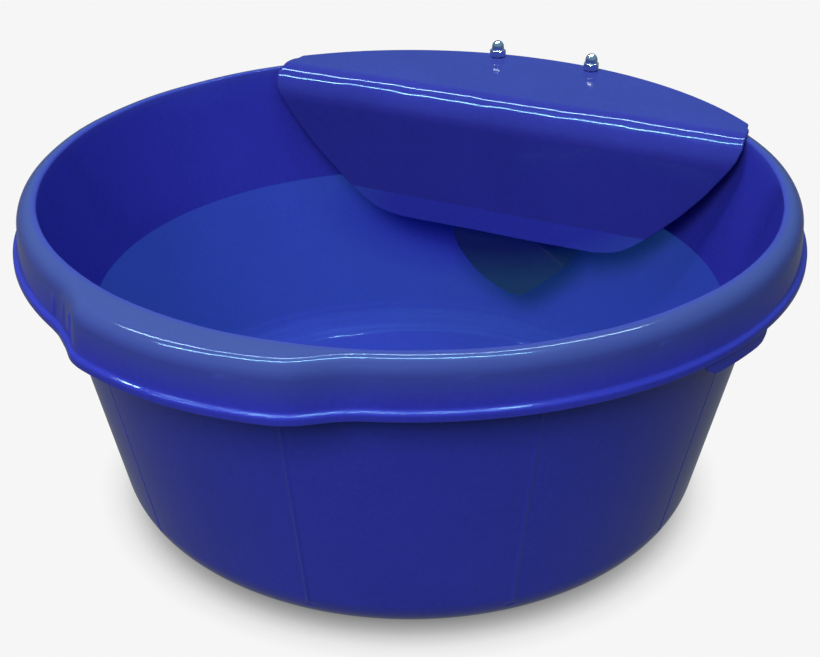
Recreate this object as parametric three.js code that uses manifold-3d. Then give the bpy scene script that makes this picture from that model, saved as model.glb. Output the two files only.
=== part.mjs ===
// Round moulded water tub with a bent splash guard bolted to its rim and a
// float valve behind the guard. Millimetres, +Z up. The origin is the centre
// of the base on the ground, and +Y points from the centre to the inlet.
import * as THREE from 'three';
import { mergeVertices } from 'three/addons/utils/BufferGeometryUtils.js';
import Module from 'manifold-3d';

const wasm = await Module();
wasm.setup();

// ---------------------------------------------------------------- dimensions
const RIM_Z = 268;            // top of the rim above the ground
const WALL_R0 = 289.6;         // outer wall radius, carried up to the rim plane
const WALL_TAPER = 0.2168;    // wall radius lost per mm of depth (about 12 degrees)
const WALL_T = 3.8;           // moulded wall thickness
const FILLET_R = 42;          // outside radius between the wall and the base
const FILLET_IN = 48;         // inside radius there: the corner is a little thicker
const RECESS_R = 150;         // raised disc in the middle of the floor
const RECESS_H = 2.5;
const SKIRT_H = 41;           // depth of the turned-down rim
const GRIP_OUT = 19.5;        // how far a hand grip swells out of the rim
const GRIP_DEG = -94;         // direction of the front grip; the other is opposite
// swell of a grip at angles from its middle, degrees and share of GRIP_OUT: a
// slight bow that drops in an S at each end
const GRIP_BOW = [[0, 1], [6, 0.95], [12, 0.87], [14.6, 0.80], [16.3, 0.64], [18, 0.41], [20.8, 0.13], [23.3, 0]];
const SEG = 96;               // facets round the tub
const RIB_DEG = [-82.5, 36];  // first wall rib and the spacing
const RIB_W = 2.2;
const RIB_OUT = 1.0;
const TAB_DEG = [-17.5, 162.5];
const TAB_HALF = 7;           // half angle of a hanging tab
const TAB_LOW = 51.5;         // its lower edge below the rim

const SHEET = 3.3;            // guard sheet thickness
const GUARD_Z = RIM_Z + 0.3;  // underside of the guard's flat top
const GUARD_BACK = 300;       // radius of the guard's back edge
const BEND_Y = 166;           // front face of the flap just below the bend
const BEND_R = 26;            // outside radius of the bend
const FLAP_LEAN = 5;          // degrees that the flap leans back
const FLAP_Z = RIM_Z - 124;   // lower edge of the flap

const BOLT_DEG = 9.1;         // each side of +Y
const BOLT_PCR = 291.95;      // bolts stand on this radius
const M8 = 8, M8_HOLE = 9, M8_AF = 13;
const HEAD_Z = RIM_Z - 24;    // bolt head bears here, wedged in the rim channel
const HEAD_H = 5.3, BOLT_L = 35;
const NUT_H = 6.5, DOME_H = 8.5;

const VX = -34, VY = 247;     // vertical axis of the valve's piston
const VZ = RIM_Z - 68;        // inlet axis height
const BARREL_R = 13, BARREL_Y0 = 237, FLANGE_Y = 260.5, FLANGE_R = 17, FLANGE_T = 3.5;
const TAIL_R = 10.4, TAIL_END = 304, TAIL_BORE = 6.5;
const GUIDE_R = 9, GUIDE_BORE = 6.4, GUIDE_LOW = RIM_Z - 97;
const SEAT_Z = RIM_Z - 85;    // nozzle's lower face
const ARM = 11;               // pivot to piston axis
const PIVOT_X = VX - ARM, PIVOT_Z = RIM_Z - 103;
const SWING = 34;             // degrees from hanging to shut
const LIFT = 2 * ARM * Math.sin(SWING / 2 * Math.PI / 180);
const PISTON_R = 6.0;
const NUB_R = 2.2;
const PIN_R = 2.0;

const FLOAT_Y0 = 188.5, FLOAT_Y1 = 232.3;  // front and back of the float
const FLOAT_H = 56;           // height when level
const FLOAT_WALL = 2.4;
const LID_H = 8;
const LEVER_Y0 = 233.0, LEVER_Y1 = 236.2;

const D2R = Math.PI / 180;
const V2 = (x, y) => new THREE.Vector2(x, y);

// ------------------------------------------------------------------- helpers
// closed three.js geometry -> solid
function solid(geometry) {
  let g = geometry.clone();
  g.deleteAttribute('normal');
  if (g.getAttribute('uv')) g.deleteAttribute('uv');
  g = mergeVertices(g, 1e-4);
  const src = g.index.array;
  const tri = [];
  for (let i = 0; i < src.length; i += 3) {
    const a = src[i], b = src[i + 1], c = src[i + 2];
    if (a !== b && b !== c && c !== a) tri.push(a, b, c);
  }
  const vertProperties = new Float32Array(g.getAttribute('position').array);
  const make = (t) => new wasm.Manifold(new wasm.Mesh({
    numProp: 3, vertProperties, triVerts: new Uint32Array(t) }));
  let m = make(tri);
  if (m.volume() < 0) {
    for (let i = 0; i < tri.length; i += 3) [tri[i + 1], tri[i + 2]] = [tri[i + 2], tri[i + 1]];
    m = make(tri);
  }
  return m;
}

// solid -> geometry for a mesh
function geometryOf(m) {
  const out = m.getMesh();
  const n = out.numProp, v = out.vertProperties;
  const pos = new Float32Array(v.length / n * 3);
  for (let i = 0, k = 0; i < v.length; i += n) { pos[k++] = v[i]; pos[k++] = v[i + 1]; pos[k++] = v[i + 2]; }
  const g = new THREE.BufferGeometry();
  g.setAttribute('position', new THREE.BufferAttribute(pos, 3));
  g.setIndex(new THREE.BufferAttribute(new Uint32Array(out.triVerts), 1));
  g.computeVertexNormals();
  return g;
}

// a cylinder along one axis between two coordinates
function rod(r, a, b, axis, at = [0, 0], seg = 32, r2 = r) {
  const g = new THREE.CylinderGeometry(r2, r, b - a, seg);
  g.translate(0, (a + b) / 2, 0);
  if (axis === 'z') { g.rotateX(Math.PI / 2); g.translate(at[0], at[1], 0); }
  else if (axis === 'y') g.translate(at[0], 0, at[1]);
  else { g.rotateZ(-Math.PI / 2); g.translate(0, at[0], at[1]); }
  return g;
}

function box(x0, x1, y0, y1, z0, z1) {
  const g = new THREE.BoxGeometry(x1 - x0, y1 - y0, z1 - z0);
  g.translate((x0 + x1) / 2, (y0 + y1) / 2, (z0 + z1) / 2);
  return g;
}

// turned about +Z from [radius, height] points
function turned(points, seg = 32) {
  const g = new THREE.LatheGeometry(points.map((p) => V2(p[0], p[1])), seg);
  g.rotateX(Math.PI / 2);
  return g;
}

// turned about a line along +Y through (x, z)
function turnedY(points, x, z, seg = 32) {
  const g = new THREE.LatheGeometry(points.map((p) => V2(p[0], p[1])), seg);
  g.translate(x, 0, z);
  return g;
}

function hexPrism(af, a, b, x, y, turn = 0) {
  const g = rod(af / Math.sqrt(3), a, b, 'z', [0, 0], 6);
  g.rotateZ(turn);
  g.translate(x, y, 0);
  return g;
}

function prism(shape, depth, curveSegments = 8) {
  return new THREE.ExtrudeGeometry(shape, { depth, bevelEnabled: false, curveSegments });
}

function shapeOf(points) {
  const s = new THREE.Shape();
  points.forEach((p, i) => (i ? s.lineTo(p[0], p[1]) : s.moveTo(p[0], p[1])));
  s.closePath();
  return s;
}

const looks = {
  blue: { color: 0x1f35a0, roughness: 0.28, metalness: 0.0 },
  blueSheet: { color: 0x1b2f96, roughness: 0.25, metalness: 0.0 },
  steel: { color: 0xc9ccd2, roughness: 0.18, metalness: 1.0 },
  zinc: { color: 0xaeb2b8, roughness: 0.35, metalness: 1.0 },
  black: { color: 0x17181a, roughness: 0.45, metalness: 0.0 },
  nylon: { color: 0x202225, roughness: 0.5, metalness: 0.0 },
  white: { color: 0xdfe2e2, roughness: 0.45, metalness: 0.0 },
  rubber: { color: 0x141414, roughness: 0.85, metalness: 0.0 },
  brass: { color: 0xc9a24a, roughness: 0.3, metalness: 1.0 },
};

function piece(name, geometry, look) {
  const mesh = new THREE.Mesh(geometry, new THREE.MeshStandardMaterial(looks[look]));
  mesh.name = name;
  return mesh;
}

const wallOut = (z) => WALL_R0 - WALL_TAPER * (RIM_Z - z);
const wallIn = (z) => wallOut(z) - WALL_T;

// ----------------------------------------------------------------------- tub
// points of a fillet between the plane z = floor and a wall line r(z)
function fillet(rOf, floor, rho, n) {
  const b = V2(rOf(floor), floor), a = V2(rOf(floor + 100), floor + 100);
  const u = a.clone().sub(b).normalize(), w = V2(-1, 0);
  const half = Math.acos(u.dot(w)) / 2;
  const bis = u.clone().add(w).normalize();
  const c = b.clone().add(bis.multiplyScalar(rho / Math.sin(half)));
  const a0 = -Math.PI / 2, a1 = Math.atan2(u.y, u.x) - Math.PI / 2;
  const pts = [];
  for (let i = 0; i <= n; i++) {
    const t = a0 + (a1 - a0) * i / n;
    pts.push([c.x + rho * Math.cos(t), c.y + rho * Math.sin(t)]);
  }
  return pts;
}

// [radius, height, how far this point follows a grip (0 to 1)]
const T = RIM_Z;
const outerFillet = fillet(wallOut, 0, FILLET_R, 4);
const innerFillet = fillet(wallIn, WALL_T, FILLET_IN, 5).reverse();
const tubProfile = [
  [0, RECESS_H, 0], [RECESS_R, RECESS_H, 0], [RECESS_R + 3, 0, 0],
  ...outerFillet.map((p) => [p[0], p[1], 0]),
  [wallOut(T - 8), T - 8, 0],
  [289.9, T - 4.8, 0], [292.4, T - 3.7, 0.1], [295.2, T - 4.3, 1],
  [297.0, T - 10, 1], [300.2, T - 33.5, 1],
  [300.9, T - 39.6, 1], [303.0, T - SKIRT_H, 1], [305.6, T - 40.0, 1], [306.2, T - 37.6, 1],
  [304.6, T - 34.8, 1], [302.9, T - 33.0, 1], [300.5, T - 12, 1],
  [299.2, T - 7.0, 1], [296.2, T - 3.0, 1], [292.4, T - 0.7, 0.9], [290.2, T, 0.2],
  [287.6, T - 0.6, 0], [285.6, T - 1.3, 0], [284.5, T - 3.6, 0], [wallIn(T - 9), T - 9, 0],
  ...innerFillet.map((p) => [p[0], p[1], 0]),
  [RECESS_R + 6, WALL_T, 0], [RECESS_R + 3, WALL_T + RECESS_H, 0], [0, WALL_T + RECESS_H, 0],
];

// 1 in the middle of a grip, 0 away from it
function gripWeight(deg) {
  let best = 0;
  for (const c of [GRIP_DEG, GRIP_DEG + 180]) {
    const d = Math.abs(((deg - c) % 360 + 540) % 360 - 180);
    for (let i = 1; i < GRIP_BOW.length; i++) {
      const [a, wa] = GRIP_BOW[i - 1], [b, wb] = GRIP_BOW[i];
      if (d >= a && d <= b) best = Math.max(best, wa + (wb - wa) * (d - a) / (b - a));
    }
  }
  return best;
}

function tubSolid() {
  const g = turned(tubProfile, SEG);
  const p = g.getAttribute('position'), n = tubProfile.length;
  for (let i = 0; i < p.count; i++) {
    const follow = tubProfile[i % n][2];
    if (!follow) continue;
    const x = p.getX(i), y = p.getY(i), r = Math.hypot(x, y);
    const k = (r + GRIP_OUT * follow * gripWeight(Math.atan2(y, x) / D2R)) / r;
    p.setXY(i, x * k, y * k);
  }
  let m = solid(g);
  // upright strengthening ribs on the outside of the wall
  for (let k = 0; k < 10; k++) {
    if (k === 5) continue;            // the inlet passes through here
    const z0 = 30, z1 = T - 30;
    const rib = prism(shapeOf([
      [wallOut(z0) - 2, z0], [wallOut(z0) + 0.2, z0], [wallOut(z0 + 8) + RIB_OUT, z0 + 8],
      [wallOut(z1 - 8) + RIB_OUT, z1 - 8], [wallOut(z1) + 0.2, z1], [wallOut(z1) - 2, z1]]), RIB_W);
    rib.translate(0, 0, -RIB_W / 2);
    rib.rotateX(Math.PI / 2);
    rib.rotateZ((RIB_DEG[0] + RIB_DEG[1] * k) * D2R);
    m = m.add(solid(rib));
  }
  // shallow tabs with round ends that hang below the lip
  for (const deg of TAB_DEG) {
    const ring = solid(turned([[301.6, T - 60], [304.6, T - 60], [304.6, T - SKIRT_H + 1.6], [301.6, T - SKIRT_H + 1.6], [301.6, T - 60]], 192));
    const half = 304 * Math.sin(TAB_HALF * D2R);
    const outline = new THREE.Shape();
    outline.moveTo(-half, T - SKIRT_H + 3);
    outline.quadraticCurveTo(-half + 1, T - TAB_LOW, -half + 15, T - TAB_LOW);
    outline.lineTo(half - 15, T - TAB_LOW);
    outline.quadraticCurveTo(half - 1, T - TAB_LOW, half, T - SKIRT_H + 3);
    outline.closePath();
    const slab = prism(outline, 30, 6);
    // (y, z, x) -> (x, y, z)
    slab.applyMatrix4(new THREE.Matrix4().set(0, 0, 1, 285, 1, 0, 0, 0, 0, 1, 0, 0, 0, 0, 0, 1));
    m = m.add(ring.intersect(solid(slab).rotate([0, 0, deg])));
  }
  // inlet hole and the two bolt holes
  m = m.subtract(solid(rod(10.9, 250, 292, 'y', [VX, VZ], 32)));
  for (const s of [-1, 1]) {
    const a = s * BOLT_DEG * D2R;
    m = m.subtract(solid(rod(M8_HOLE / 2, T - 12, T + 5, 'z',
      [BOLT_PCR * Math.sin(a), BOLT_PCR * Math.cos(a)], 24)));
  }
  return m;
}

// --------------------------------------------------------------------- guard
function guardSolid() {
  // side section in (y, z): flat top, round bend, flap that leans back
  const lean = FLAP_LEAN * D2R, zt = GUARD_Z + SHEET;
  const turn = Math.PI / 2 + lean;
  const cy = BEND_Y + BEND_R, cz = zt - BEND_R;
  const outer = [[GUARD_BACK + 12, zt]], inner = [[GUARD_BACK + 12, GUARD_Z]];
  const n = 10;
  for (let i = 0; i <= n; i++) {
    const a = Math.PI / 2 + turn * i / n;
    outer.push([cy + BEND_R * Math.cos(a), cz + BEND_R * Math.sin(a)]);
    inner.push([cy + (BEND_R - SHEET) * Math.cos(a), cz + (BEND_R - SHEET) * Math.sin(a)]);
  }
  const down = (p) => [p[0] + (p[1] - FLAP_Z) * Math.tan(lean), FLAP_Z];
  outer.push(down(outer[outer.length - 1]));
  inner.push(down(inner[inner.length - 1]));
  const section = prism(shapeOf([...outer, ...inner.reverse()]), 480);
  // (y, z, x) -> (x, y, z)
  section.applyMatrix4(new THREE.Matrix4().set(0, 0, 1, -240, 1, 0, 0, 0, 0, 1, 0, 0, 0, 0, 0, 1));
  let m = solid(section);
  // plan outline of the flat top
  const plan = [];
  for (let d = -46; d <= 46.01; d += 4) plan.push([GUARD_BACK * Math.sin(d * D2R), GUARD_BACK * Math.cos(d * D2R)]);
  const edge = [[213.5, 202.5], [216.6, 198.5], [217.6, 192], [217.5, 184], [217.8, 176], [218.6, 168], [219, 140]];
  plan.push(...edge, ...edge.slice().reverse().map((p) => [-p[0], p[1]]));
  const planPrism = prism(shapeOf(plan.reverse()), 200);
  planPrism.translate(0, 0, FLAP_Z - 20);
  m = m.intersect(solid(planPrism));
  // front outline of the flap
  const half = [[0, 222], [-6, 220.5], [-15, 216.5], [-30, 206], [-51, 191], [-72, 173], [-96, 149],
    [-111, 131], [-118, 120], [-122, 108], [-124.1, 94]];
  const front = [[-232, 30], [-224, 0], ...half.map((h) => [-h[1], h[0]]),
    ...half.slice().reverse().map((h) => [h[1], h[0]]), [224, 0], [232, 30]];
  const frontPrism = prism(shapeOf(front), 220);
  frontPrism.rotateX(Math.PI / 2);
  frontPrism.translate(0, 340, T);
  m = m.intersect(solid(frontPrism));
  for (const s of [-1, 1]) {
    const a = s * BOLT_DEG * D2R;
    m = m.subtract(solid(rod(M8_HOLE / 2, T - 5, T + 12, 'z',
      [BOLT_PCR * Math.sin(a), BOLT_PCR * Math.cos(a)], 24)));
  }
  return m;
}

// ------------------------------------------------------------ rim fasteners
function boltSolid() {
  // hex head below, shank up to inside the domed nut
  let m = solid(hexPrism(M8_AF, HEAD_Z - HEAD_H, HEAD_Z, 0, 0, Math.PI / 6));
  return m.add(solid(rod(M8 / 2, HEAD_Z - 1, HEAD_Z + BOLT_L, 'z', [0, 0], 24)));
}

function domeNutSolid(z) {
  let m = solid(hexPrism(M8_AF, z, z + NUT_H, 0, 0));
  // chamfered top corners
  m = m.intersect(solid(turned([[0, z - 1], [7.6, z - 1], [7.6, z + NUT_H - 1.1], [6.2, z + NUT_H + 0.2], [0, z + NUT_H + 0.2]], 24)));
  const dome = [[0, z + NUT_H - 1], [5.6, z + NUT_H - 1]];
  for (let i = 0; i <= 5; i++) {
    const t = i / 5 * Math.PI / 2;
    dome.push([i === 5 ? 0 : 5.6 * Math.cos(t), z + NUT_H + 2.6 + (DOME_H - 2.6) * Math.sin(t)]);
  }
  m = m.add(solid(turned(dome, 20)));
  return m.subtract(solid(rod(M8 / 2 + 0.3, z - 1, z + NUT_H + 5.2, 'z', [0, 0], 24)));
}

// --------------------------------------------------------------- float valve
function valveBodySolid() {
  let m = solid(rod(BARREL_R, BARREL_Y0, FLANGE_Y - 1, 'y', [VX, VZ], 36));
  m = m.add(solid(rod(FLANGE_R, FLANGE_Y - FLANGE_T, FLANGE_Y, 'y', [VX, VZ], 36)));
  m = m.add(solid(rod(TAIL_R, FLANGE_Y - 1, TAIL_END, 'y', [VX, VZ], 36)));
  m = m.add(solid(rod(GUIDE_R, GUIDE_LOW, VZ, 'z', [VX, VY], 32)));
  // pivot lug with a stop nose for the lever
  m = m.add(solid(box(PIVOT_X - 5, PIVOT_X + 4.2, 240, 250, PIVOT_Z - 5.5, VZ - 6)));
  m = m.add(solid(rod(5, 240, 250, 'y', [PIVOT_X, PIVOT_Z - 4], 20)));
  m = m.add(solid(box(PIVOT_X - 14, PIVOT_X - 3, 237.4, 250, PIVOT_Z + 6, PIVOT_Z + 11)));
  m = m.subtract(solid(rod(PISTON_R + 0.4, GUIDE_LOW - 20, SEAT_Z + 4, 'z', [VX, VY], 28)));
  m = m.subtract(solid(rod(PIN_R + 0.3, 236, 254, 'y', [PIVOT_X, PIVOT_Z], 20)));
  // water way, cap socket and nozzle seat
  m = m.subtract(solid(rod(TAIL_BORE, VY - 2, TAIL_END + 1, 'y', [VX, VZ], 28)));
  m = m.subtract(solid(rod(9.4, BARREL_Y0 - 1, VY + 1, 'y', [VX, VZ], 28)));
  m = m.subtract(solid(rod(5.3, SEAT_Z - 1, VZ, 'z', [VX, VY], 24)));
  // outlet windows either side of the guide
  m = m.subtract(solid(box(VX - 20, VX + 20, VY - 3, VY + 3, SEAT_Z - 9, SEAT_Z + 1.5)));
  return m;
}

function capSolid() {
  let m = solid(turnedY([[0, 234.2], [10.6, 234.2], [11.6, 235], [11.6, BARREL_Y0 - 0.3], [9.0, BARREL_Y0 - 0.3],
    [9.0, BARREL_Y0 + 1.6], [7.6, BARREL_Y0 + 1.6], [7.6, BARREL_Y0 + 3.8], [9.0, BARREL_Y0 + 3.8],
    [9.0, BARREL_Y0 + 4.6], [6, BARREL_Y0 + 4.6], [6, BARREL_Y0 + 1], [0, BARREL_Y0 + 1]], VX, VZ, 32));
  // slot for a coin or a screwdriver
  return m.subtract(solid(box(VX - 8, VX + 8, 233, 235.4, VZ - 1.1, VZ + 1.1)));
}

function ringGeometry(R, r, y, x, z, seg = 28, n = 10) {
  const pts = [];
  for (let i = 0; i <= n; i++) {
    const t = -i / n * Math.PI * 2;
    pts.push([R + r * Math.cos(-t), y + r * Math.sin(-t)]);
  }
  return turnedY(pts, x, z, seg);
}

function pistonSolid() {
  // shut position; the assembly lowers it to rest
  const top = SEAT_Z - 0.35, nub = PIVOT_Z + ARM * Math.sin(SWING / 2 * D2R);
  let m = solid(rod(PISTON_R, nub - 4.6, top - 1.3, 'z', [VX, VY], 28));
  // cup for the seal
  m = m.subtract(solid(rod(4.6, top - 3.4, top + 1, 'z', [VX, VY], 24)));
  // cross slot for the lever's nub, and flutes for the water
  m = m.subtract(solid(box(VX - 8, VX + 8, VY - 8, VY + 8, nub - NUB_R - 0.3, nub + NUB_R + 0.3)
    .applyMatrix4(new THREE.Matrix4())).intersect(solid(box(VX - 8, VX + 8, VY - 8, VY + 3.4, nub - 4, nub + 4))));
  for (const s of [-1, 1]) m = m.subtract(solid(box(VX + s * 6 - 1.4, VX + s * 6 + 1.4, VY - 1.6, VY + 1.6, nub - 10, top + 1)));
  return m;
}

function sealSolid() {
  const top = SEAT_Z - 0.35;
  return solid(turned([[0, top - 3.1], [4.3, top - 3.1], [4.3, top - 0.3], [4.0, top], [0, top]], 24)
    .translate(VX, VY, 0));
}

// lever and float are drawn level (valve shut) about the pivot, and the
// assembly turns them down to where they hang
function leverSolid() {
  const L = 84;
  const s = new THREE.Shape();
  s.absarc(0, 0, 6, Math.PI / 2, Math.PI * 3 / 2, false);
  s.lineTo(L - 6, -6);
  s.absarc(L - 6, 0, 6, -Math.PI / 2, Math.PI / 2, false);
  s.closePath();
  const toXZ = (g, y1) => { g.rotateX(Math.PI / 2); g.translate(0, y1, 0); return g; };
  let m = solid(toXZ(prism(s, LEVER_Y1 - LEVER_Y0, 8), LEVER_Y1));
  // heel that meets the stop when the float hangs
  const back = SWING * D2R;
  const heel = shapeOf([[-3, -4], [3, 4], [-4.6, 10.2], [-9.6, 5.2], [-9.0, 1.0]]);
  m = m.add(solid(toXZ(prism(heel, LEVER_Y1 - LEVER_Y0), LEVER_Y1)));
  // nub that lifts the piston
  const a = SWING / 2 * D2R;
  m = m.add(solid(rod(NUB_R, LEVER_Y1 - 1, VY + 3, 'y', [ARM * Math.cos(a), ARM * Math.sin(a)], 20)));
  // ears that grip the float, either side of the screw
  m = m.subtract(solid(rod(PIN_R + 0.3, LEVER_Y0 - 1, LEVER_Y1 + 1, 'y', [0, 0], 20)));
  m = m.subtract(solid(rod(2.4, LEVER_Y0 - 1, LEVER_Y1 + 1, 'y', [L - 12, 0], 20)));
  return m;
}

// side outline of the float, level: sloping right end, flat top, arched underside
const FLOAT_OUTLINE = [[2.6, 3], [5.2, 13.3], [8.4, 26], [13.6, 47.5], [15.6, FLOAT_H], [-90, FLOAT_H], [-93, FLOAT_H - 3],
  [-92, 38], [-90, 20], [-88, 9.5], [-85.6, 3.4], [-80.8, -1.5], [-72.5, -5.2], [-62, -8.6], [-48.5, -11.3], [-34, -11.8],
  [-20.5, -9.8], [-7.5, -6.3], [-1, -2.2]];

function floatOutline(inset) {
  const n = FLOAT_OUTLINE.length, at = (i) => V2(...FLOAT_OUTLINE[(i + n) % n]);
  return FLOAT_OUTLINE.map((_, i) => {
    const a = at(i).sub(at(i - 1)).normalize(), b = at(i + 1).sub(at(i)).normalize();
    const na = V2(-a.y, a.x), m = na.clone().add(V2(-b.y, b.x)).normalize();
    return at(i).add(m.multiplyScalar(inset / Math.max(0.5, m.dot(na))));
  });
}
const FLOAT_DX = 103.9, FLOAT_DZ = -32.5;    // float's corner from the pivot

// the outline carried from y0 to y1, its long edges eased by a 3 mm bevel
function floatBlock(inset, y0, y1, w0, w1) {
  const rows = [[3, 0], [0.9, 0.9], [0, 3]];
  const pts = [];
  for (const [grow, dy] of rows) {
    for (const p of floatOutline(inset + grow)) {
      for (const y of [y0 + dy, y1 - dy]) pts.push([FLOAT_DX + p.x, y, FLOAT_DZ + p.y]);
    }
  }
  return wasm.Manifold.hull(pts).intersect(solid(box(-60, 160, y0 - 5, y1 + 5, FLOAT_DZ + w0, FLOAT_DZ + w1)));
}

function floatShellSolid() {
  const split = FLOAT_H - LID_H;
  let m = floatBlock(0, FLOAT_Y0, FLOAT_Y1, -20, split);
  const hollow = floatBlock(FLOAT_WALL, FLOAT_Y0 + FLOAT_WALL, FLOAT_Y1 - FLOAT_WALL, -20, split + 5);
  m = m.subtract(hollow);
  // boss for the clamp screw
  const bx = 84 - 12;
  const boss = solid(rod(6, FLOAT_Y1 - 12, FLOAT_Y1 - 1, 'y', [bx, 0], 24));
  m = m.add(boss);
  return m.subtract(solid(rod(2.3, FLOAT_Y1 - 9, FLOAT_Y1 + 5, 'y', [bx, 0], 20)));
}

function floatLidSolid() {
  const split = FLOAT_H - LID_H + 0.3;
  let m = floatBlock(0, FLOAT_Y0, FLOAT_Y1, split, FLOAT_H + 5);
  const hollow = floatBlock(FLOAT_WALL, FLOAT_Y0 + FLOAT_WALL, FLOAT_Y1 - FLOAT_WALL, -5, FLOAT_H - FLOAT_WALL);
  return m.subtract(hollow);
}

function screwSolid() {
  // from inside the boss out through the lever
  return solid(turnedY([[0, FLOAT_Y1 - 8], [2, FLOAT_Y1 - 8], [2, LEVER_Y1 + 0.3], [4, LEVER_Y1 + 0.3],
    [4, LEVER_Y1 + 1.6], [3.2, LEVER_Y1 + 2.5], [0, LEVER_Y1 + 2.5]], 84 - 12, 0, 24));
}

function filterSolid() {
  // thimble strainer in the mouth of the tail
  return solid(turnedY([[0, 282], [4.2, 282], [4.6, 283], [5.2, 301], [6.1, 301], [6.1, 303.2],
    [4.2, 303.2], [3.8, 284], [0, 283.4]], VX, VZ, 24));
}

// -------------------------------------------------------------------- pieces
const tub = tubSolid();
const guard = guardSolid();

// the wall as two plain cones, for the tapered washers
const cone = (r) => solid(turned([[0, 60], [r(60), 60], [r(T - 2), T - 2], [0, T - 2]], SEG));
const inner = solid(washerY(FLANGE_R - 0.5, 10.9, FLANGE_Y + 0.3, 286)).intersect(cone((z) => wallIn(z) - 0.35));
const outer = solid(washerY(FLANGE_R - 0.5, 10.9, 250, 280.5)).subtract(cone((z) => wallOut(z) + 0.35));
function washerY(r, bore, a, b) {
  return turnedY([[bore, a], [r, a], [r, b], [bore, b], [bore, a]], VX, VZ, 36);
}

const model = new THREE.Group();
model.add(piece('tub', geometryOf(tub), 'blue'));
model.add(piece('guard_cover', geometryOf(guard), 'blueSheet'));

for (const [side, s] of [['left', -1], ['right', 1]]) {
  const set = new THREE.Group();
  const a = s * BOLT_DEG * D2R;
  set.position.set(BOLT_PCR * Math.sin(a), BOLT_PCR * Math.cos(a), 0);
  set.rotation.z = -a;
  const z = GUARD_Z + SHEET + 0.3;
  // the bolt head's flats face the wall and the skirt, so it can't turn
  set.add(piece('guard_bolt_' + side, geometryOf(boltSolid()), 'zinc'));
  set.add(piece('dome_nut_' + side, geometryOf(domeNutSolid(z)), 'steel'));
  model.add(set);
}

const valve = new THREE.Group();
valve.add(piece('valve_body', geometryOf(valveBodySolid()), 'nylon'));
valve.add(piece('valve_cap', geometryOf(capSolid()), 'nylon'));
valve.add(piece('cap_o_ring', ringGeometry(8.45, 0.55, BARREL_Y0 + 2.7, VX, VZ), 'rubber'));
valve.add(piece('valve_nozzle', geometryOf(solid(turned(
  [[2.2, SEAT_Z], [3.4, SEAT_Z], [5.0, SEAT_Z + 2], [5.0, VZ - 8.2], [2.2, VZ - 8.2], [2.2, SEAT_Z]], 24).translate(VX, VY, 0))), 'brass'));
valve.add(piece('inlet_filter', geometryOf(filterSolid()), 'white'));
valve.add(piece('inner_seal_washer', geometryOf(inner), 'rubber'));
valve.add(piece('outer_seal_washer', geometryOf(outer), 'rubber'));
valve.add(piece('backnut_washer', geometryOf(solid(washerY(15.5, 10.9, 280.8, 282.5))), 'zinc'));
{
  let nut = solid(rod(27 / Math.sqrt(3), 282.8, 292.3, 'y', [0, 0], 6).translate(VX, 0, VZ));
  nut = nut.subtract(solid(rod(TAIL_R + 0.3, 280, 293, 'y', [VX, VZ], 36)));
  valve.add(piece('back_nut', geometryOf(nut), 'black'));
}
valve.add(piece('pivot_pin', geometryOf(solid(turnedY([[0, 231.2 + 1.6], [PIN_R, 232.8], [PIN_R, 251.4], [3.2, 251.4], [3.2, 252.8], [0, 252.8]],
  PIVOT_X, PIVOT_Z, 24))), 'steel'));
model.add(valve);

const piston = new THREE.Group();
piston.position.set(0, 0, -LIFT);
piston.add(piece('piston', geometryOf(pistonSolid()), 'white'));
piston.add(piece('piston_seal', geometryOf(sealSolid()), 'rubber'));
model.add(piston);

const arm = new THREE.Group();
arm.position.set(PIVOT_X, 0, PIVOT_Z);
arm.rotation.y = SWING * D2R;
arm.add(piece('lever', geometryOf(leverSolid()), 'nylon'));
arm.add(piece('float_shell', geometryOf(floatShellSolid()), 'black'));
arm.add(piece('float_lid', geometryOf(floatLidSolid()), 'black'));
arm.add(piece('float_screw', geometryOf(screwSolid()), 'steel'));
model.add(arm);

export default model;
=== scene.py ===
# Looks for the round float-valve water tub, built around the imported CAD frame.
import bpy, bmesh, math
import numpy as np
from mathutils import Vector, Matrix


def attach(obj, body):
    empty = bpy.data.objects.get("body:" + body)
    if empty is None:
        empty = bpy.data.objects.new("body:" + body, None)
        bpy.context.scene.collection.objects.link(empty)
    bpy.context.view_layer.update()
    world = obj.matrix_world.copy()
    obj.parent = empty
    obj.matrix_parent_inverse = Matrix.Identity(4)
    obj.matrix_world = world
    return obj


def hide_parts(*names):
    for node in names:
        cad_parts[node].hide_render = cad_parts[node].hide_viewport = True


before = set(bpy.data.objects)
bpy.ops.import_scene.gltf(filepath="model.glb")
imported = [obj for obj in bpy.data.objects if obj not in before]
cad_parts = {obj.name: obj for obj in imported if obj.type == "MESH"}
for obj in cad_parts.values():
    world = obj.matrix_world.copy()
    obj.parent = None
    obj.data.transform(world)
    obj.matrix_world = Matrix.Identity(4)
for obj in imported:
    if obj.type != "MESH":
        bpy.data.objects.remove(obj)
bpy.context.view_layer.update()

scene = bpy.context.scene
MM = 0.001
D2R = math.pi / 180

# ------------------------------------------------------------------ dimensions
T = 268.0                     # rim height, mm
WALL_R0, TAPER, WALL_T = 289.6, 0.2168, 3.8
SHEET = 3.3
GRIP_DEG, GRIP_OUT = -94.0, 18.9
TAB_DEG = (-17.5, 162.5)
RIB0, RIB_STEP = -82.5, 36.0
RIB_H = (1.1, 1.1, 0.5, 0.5, 0.6, 0, 0.7, 0.7, 0.6, 0.5)   # how proud each wall rib stands
BOLT_DEG, BOLT_PCR = 9.1, 291.95
VX, VY, VZ = -34.0, 247.0, T - 68
PIVOT = (-45.0, 243.0, T - 103)
SWING = 34.0


def wall_out(z): return WALL_R0 - TAPER * (T - z)
def wall_in(z): return wall_out(z) - WALL_T
def smooth01(x):
    x = np.clip(x, 0, 1)
    return x * x * (3 - 2 * x)


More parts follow.
